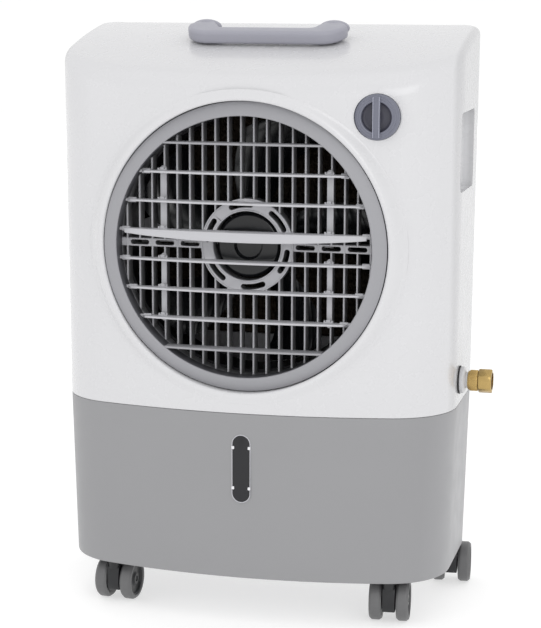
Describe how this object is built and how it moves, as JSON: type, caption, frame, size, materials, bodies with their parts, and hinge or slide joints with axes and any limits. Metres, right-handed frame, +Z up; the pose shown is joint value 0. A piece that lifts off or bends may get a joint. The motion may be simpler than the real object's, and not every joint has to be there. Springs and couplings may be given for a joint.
{
  "type": "portable evaporative cooler",
  "caption": "Upright evaporative air cooler on casters with round louvred outlet, water tank, rotary knob, folding handle and brass hose inlet.",
  "frame": {"origin": "middle of the bottom of the whole object's box, on the floor under the casters", "axes": "+Z up, -Y is the front with the air outlet, +X is the side with the hose inlet"},
  "size_m": [0.5194, 0.287, 0.7028],
  "materials": {
    "white_plastic": "glossy moulded, white",
    "tank_grey": "satin moulded, mid grey",
    "ring_grey": "fine satin, grey",
    "light_grey": "satin moulded, light grey",
    "knob_grey": "satin, blue grey",
    "black_plastic": "glossy black",
    "smoke_window": "polished dark smoke",
    "float_red": "satin red",
    "rubber": "matt",
    "wheel_tread": "satin nylon, dark grey",
    "brass": "machined",
    "steel": "zinc plated",
    "motor_steel": "black enamel",
    "pad": "shredded fibre, natural brown"
  },
  "bodies": {
    "body": {"upper_housing": "white_plastic", "water_tank": "tank_grey", "bezel_ring": "ring_grey", "front_guard": "light_grey", "fan_shroud": "black_plastic", "fan_motor": "motor_steel", "motor_bracket": "steel", "rotary_switch": "black_plastic", "level_window": "smoke_window", "handle_pin_left": "steel", "handle_pin_right": "steel", "cooling_pad": "pad", "pad_frame": "light_grey", "distributor_tray": "light_grey", "water_pump": "black_plastic", "riser_tube": "light_grey", "power_gland": "black_plastic", "inlet_gasket": "rubber", "inlet_flange": "white_plastic", "inlet_body": "brass", "float_valve": "light_grey"},
    "louvre_4": {"louvre_4": "light_grey"},
    "louvre_2": {"louvre_2": "light_grey"},
    "louvre_3": {"louvre_3": "light_grey"},
    "louvre_5": {"louvre_5": "light_grey"},
    "louvre_6": {"louvre_6": "light_grey"},
    "louvre_7": {"louvre_7": "light_grey"},
    "link_upper_left": {"link_upper_left": "light_grey"},
    "link_upper_right": {"link_upper_right": "light_grey"},
    "link_lower_left": {"link_lower_left": "light_grey"},
    "link_lower_right": {"link_lower_right": "light_grey"},
    "fan": {"fan_impeller": "black_plastic", "motor_shaft": "steel"},
    "knob": {"control_knob": "knob_grey"},
    "handle": {"carry_handle": "ring_grey"},
    "intake_panel": {"rear_panel": "white_plastic"},
    "float_lever": {"float_arm": "brass", "float_ball": "float_red"},
    "level_marker": {"level_float": "float_red"},
    "hose_nut": {"swivel_nut": "brass"},
    "drain_cap": {"drain_plug": "black_plastic"},
    "caster_front_left": {"caster_front_left_frame": "black_plastic"},
    "caster_front_left_left": {"caster_front_left_wheel_left": "wheel_tread"},
    "caster_front_left_right": {"caster_front_left_wheel_right": "wheel_tread"},
    "caster_front_right": {"caster_front_right_frame": "black_plastic"},
    "caster_front_right_left": {"caster_front_right_wheel_left": "wheel_tread"},
    "caster_front_right_right": {"caster_front_right_wheel_right": "wheel_tread"},
    "caster_rear_left": {"caster_rear_left_frame": "black_plastic"},
    "caster_rear_left_left": {"caster_rear_left_wheel_left": "wheel_tread"},
    "caster_rear_left_right": {"caster_rear_left_wheel_right": "wheel_tread"},
    "caster_rear_right": {"caster_rear_right_frame": "black_plastic"},
    "caster_rear_right_left": {"caster_rear_right_wheel_left": "wheel_tread"},
    "caster_rear_right_right": {"caster_rear_right_wheel_right": "wheel_tread"}
  },
  "joints": [
    {"name": "louvre_4_tilt", "type": "hinge", "parent": "body", "child": "louvre_4", "pos_m": [-0.01732, -0.1265, 0.46305], "axis": [-1, 0, 0], "range_deg": [-30, 30]},
    {"name": "louvre_2_tilt", "type": "hinge", "parent": "body", "child": "louvre_2", "pos_m": [-0.01732, -0.1265, 0.53125], "axis": [-1, 0, 0], "range_deg": [-30, 30]},
    {"name": "louvre_3_tilt", "type": "hinge", "parent": "body", "child": "louvre_3", "pos_m": [-0.01732, -0.1265, 0.49715], "axis": [-1, 0, 0], "range_deg": [-30, 30]},
    {"name": "louvre_5_tilt", "type": "hinge", "parent": "body", "child": "louvre_5", "pos_m": [-0.01732, -0.1265, 0.42895], "axis": [-1, 0, 0], "range_deg": [-30, 30]},
    {"name": "louvre_6_tilt", "type": "hinge", "parent": "body", "child": "louvre_6", "pos_m": [-0.01732, -0.1265, 0.39485], "axis": [-1, 0, 0], "range_deg": [-30, 30]},
    {"name": "louvre_7_tilt", "type": "hinge", "parent": "body", "child": "louvre_7", "pos_m": [-0.01732, -0.1265, 0.36075], "axis": [-1, 0, 0], "range_deg": [-30, 30]},
    {"name": "link_upper_left_pivot", "type": "hinge", "parent": "louvre_4", "child": "link_upper_left", "pos_m": [-0.11632, -0.1193, 0.46305], "axis": [-1, 0, 0], "range_deg": [-30, 30]},
    {"name": "link_upper_right_pivot", "type": "hinge", "parent": "louvre_4", "child": "link_upper_right", "pos_m": [0.08168, -0.1193, 0.46305], "axis": [-1, 0, 0], "range_deg": [-30, 30]},
    {"name": "link_lower_left_pivot", "type": "hinge", "parent": "louvre_5", "child": "link_lower_left", "pos_m": [-0.11632, -0.1193, 0.42895], "axis": [-1, 0, 0], "range_deg": [-30, 30]},
    {"name": "link_lower_right_pivot", "type": "hinge", "parent": "louvre_5", "child": "link_lower_right", "pos_m": [0.08168, -0.1193, 0.42895], "axis": [-1, 0, 0], "range_deg": [-30, 30]},
    {"name": "fan_spin", "type": "hinge", "parent": "body", "child": "fan", "pos_m": [-0.01732, -0.0735, 0.446], "axis": [0, 1, 0], "continuous": true},
    {"name": "knob_turn", "type": "hinge", "parent": "body", "child": "knob", "pos_m": [0.13618, -0.1335, 0.5985], "axis": [0, 1, 0], "range_deg": [0, 300]},
    {"name": "handle_fold", "type": "hinge", "parent": "body", "child": "handle", "pos_m": [-0.01732, -0.0075, 0.6935], "axis": [-1, 0, 0], "range_deg": [0, 95]},
    {"name": "rear_panel_tilt", "type": "hinge", "parent": "body", "child": "intake_panel", "pos_m": [-0.01732, 0.0988, 0.291], "axis": [-1, 0, 0], "range_deg": [0, 30]},
    {"name": "float_arm_swing", "type": "hinge", "parent": "body", "child": "float_lever", "pos_m": [0.16968, -0.0305, 0.2625], "axis": [0, 1, 0], "range_deg": [0, 30]},
    {"name": "level_float_rise", "type": "slide", "parent": "body", "child": "level_marker", "axis": [0, 0, 1], "range_m": [0, 0.052]},
    {"name": "swivel_nut_spin", "type": "hinge", "parent": "body", "child": "hose_nut", "pos_m": [0.25268, -0.0305, 0.2835], "axis": [1, 0, 0], "continuous": true},
    {"name": "drain_plug_turn", "type": "hinge", "parent": "body", "child": "drain_cap", "pos_m": [-0.13732, 0.1015, 0.078], "axis": [0, 1, 0], "continuous": true},
    {"name": "caster_front_left_swivel", "type": "hinge", "parent": "body", "child": "caster_front_left", "pos_m": [-0.18732, -0.1027, 0.07], "axis": [0, 0, 1], "continuous": true},
    {"name": "caster_front_left_left_roll", "type": "hinge", "parent": "caster_front_left", "child": "caster_front_left_left", "pos_m": [-0.20216, -0.08562, 0.025], "axis": [0.9976, -0.0698, 0], "continuous": true},
    {"name": "caster_front_left_right_roll", "type": "hinge", "parent": "caster_front_left", "child": "caster_front_left_right", "pos_m": [-0.17024, -0.08786, 0.025], "axis": [0.9976, -0.0698, 0], "continuous": true},
    {"name": "caster_front_right_swivel", "type": "hinge", "parent": "body", "child": "caster_front_right", "pos_m": [0.15268, -0.1027, 0.07], "axis": [0, 0, 1], "continuous": true},
    {"name": "caster_front_right_left_roll", "type": "hinge", "parent": "caster_front_right", "child": "caster_front_right_left", "pos_m": [0.13535, -0.08816, 0.025], "axis": [0.9962, 0.0872, 0], "continuous": true},
    {"name": "caster_front_right_right_roll", "type": "hinge", "parent": "caster_front_right", "child": "caster_front_right_right", "pos_m": [0.16722, -0.08537, 0.025], "axis": [0.9962, 0.0872, 0], "continuous": true},
    {"name": "caster_rear_left_swivel", "type": "hinge", "parent": "body", "child": "caster_rear_left", "pos_m": [-0.23582, 0.0667, 0.07], "axis": [0, 0, 1], "continuous": true},
    {"name": "caster_rear_left_left_roll", "type": "hinge", "parent": "caster_rear_left", "child": "caster_rear_left_left", "pos_m": [-0.25066, 0.08378, 0.025], "axis": [0.9976, -0.0698, 0], "continuous": true},
    {"name": "caster_rear_left_right_roll", "type": "hinge", "parent": "caster_rear_left", "child": "caster_rear_left_right", "pos_m": [-0.21874, 0.08154, 0.025], "axis": [0.9976, -0.0698, 0], "continuous": true},
    {"name": "caster_rear_right_swivel", "type": "hinge", "parent": "body", "child": "caster_rear_right", "pos_m": [0.20118, 0.0667, 0.07], "axis": [0, 0, 1], "continuous": true},
    {"name": "caster_rear_right_left_roll", "type": "hinge", "parent": "caster_rear_right", "child": "caster_rear_right_left", "pos_m": [0.18385, 0.08124, 0.025], "axis": [0.9962, 0.0872, 0], "continuous": true},
    {"name": "caster_rear_right_right_roll", "type": "hinge", "parent": "caster_rear_right", "child": "caster_rear_right_right", "pos_m": [0.21572, 0.08403, 0.025], "axis": [0.9962, 0.0872, 0], "continuous": true}
  ],
  "couplings": [
    {"joint": "louvre_2_tilt", "follows": "louvre_4_tilt", "ratio": 1},
    {"joint": "louvre_3_tilt", "follows": "louvre_4_tilt", "ratio": 1},
    {"joint": "louvre_6_tilt", "follows": "louvre_5_tilt", "ratio": 1},
    {"joint": "louvre_7_tilt", "follows": "louvre_5_tilt", "ratio": 1},
    {"joint": "link_upper_left_pivot", "follows": "louvre_4_tilt", "ratio": -1},
    {"joint": "link_upper_right_pivot", "follows": "louvre_4_tilt", "ratio": -1},
    {"joint": "link_lower_left_pivot", "follows": "louvre_5_tilt", "ratio": -1},
    {"joint": "link_lower_right_pivot", "follows": "louvre_5_tilt", "ratio": -1}
  ]
}
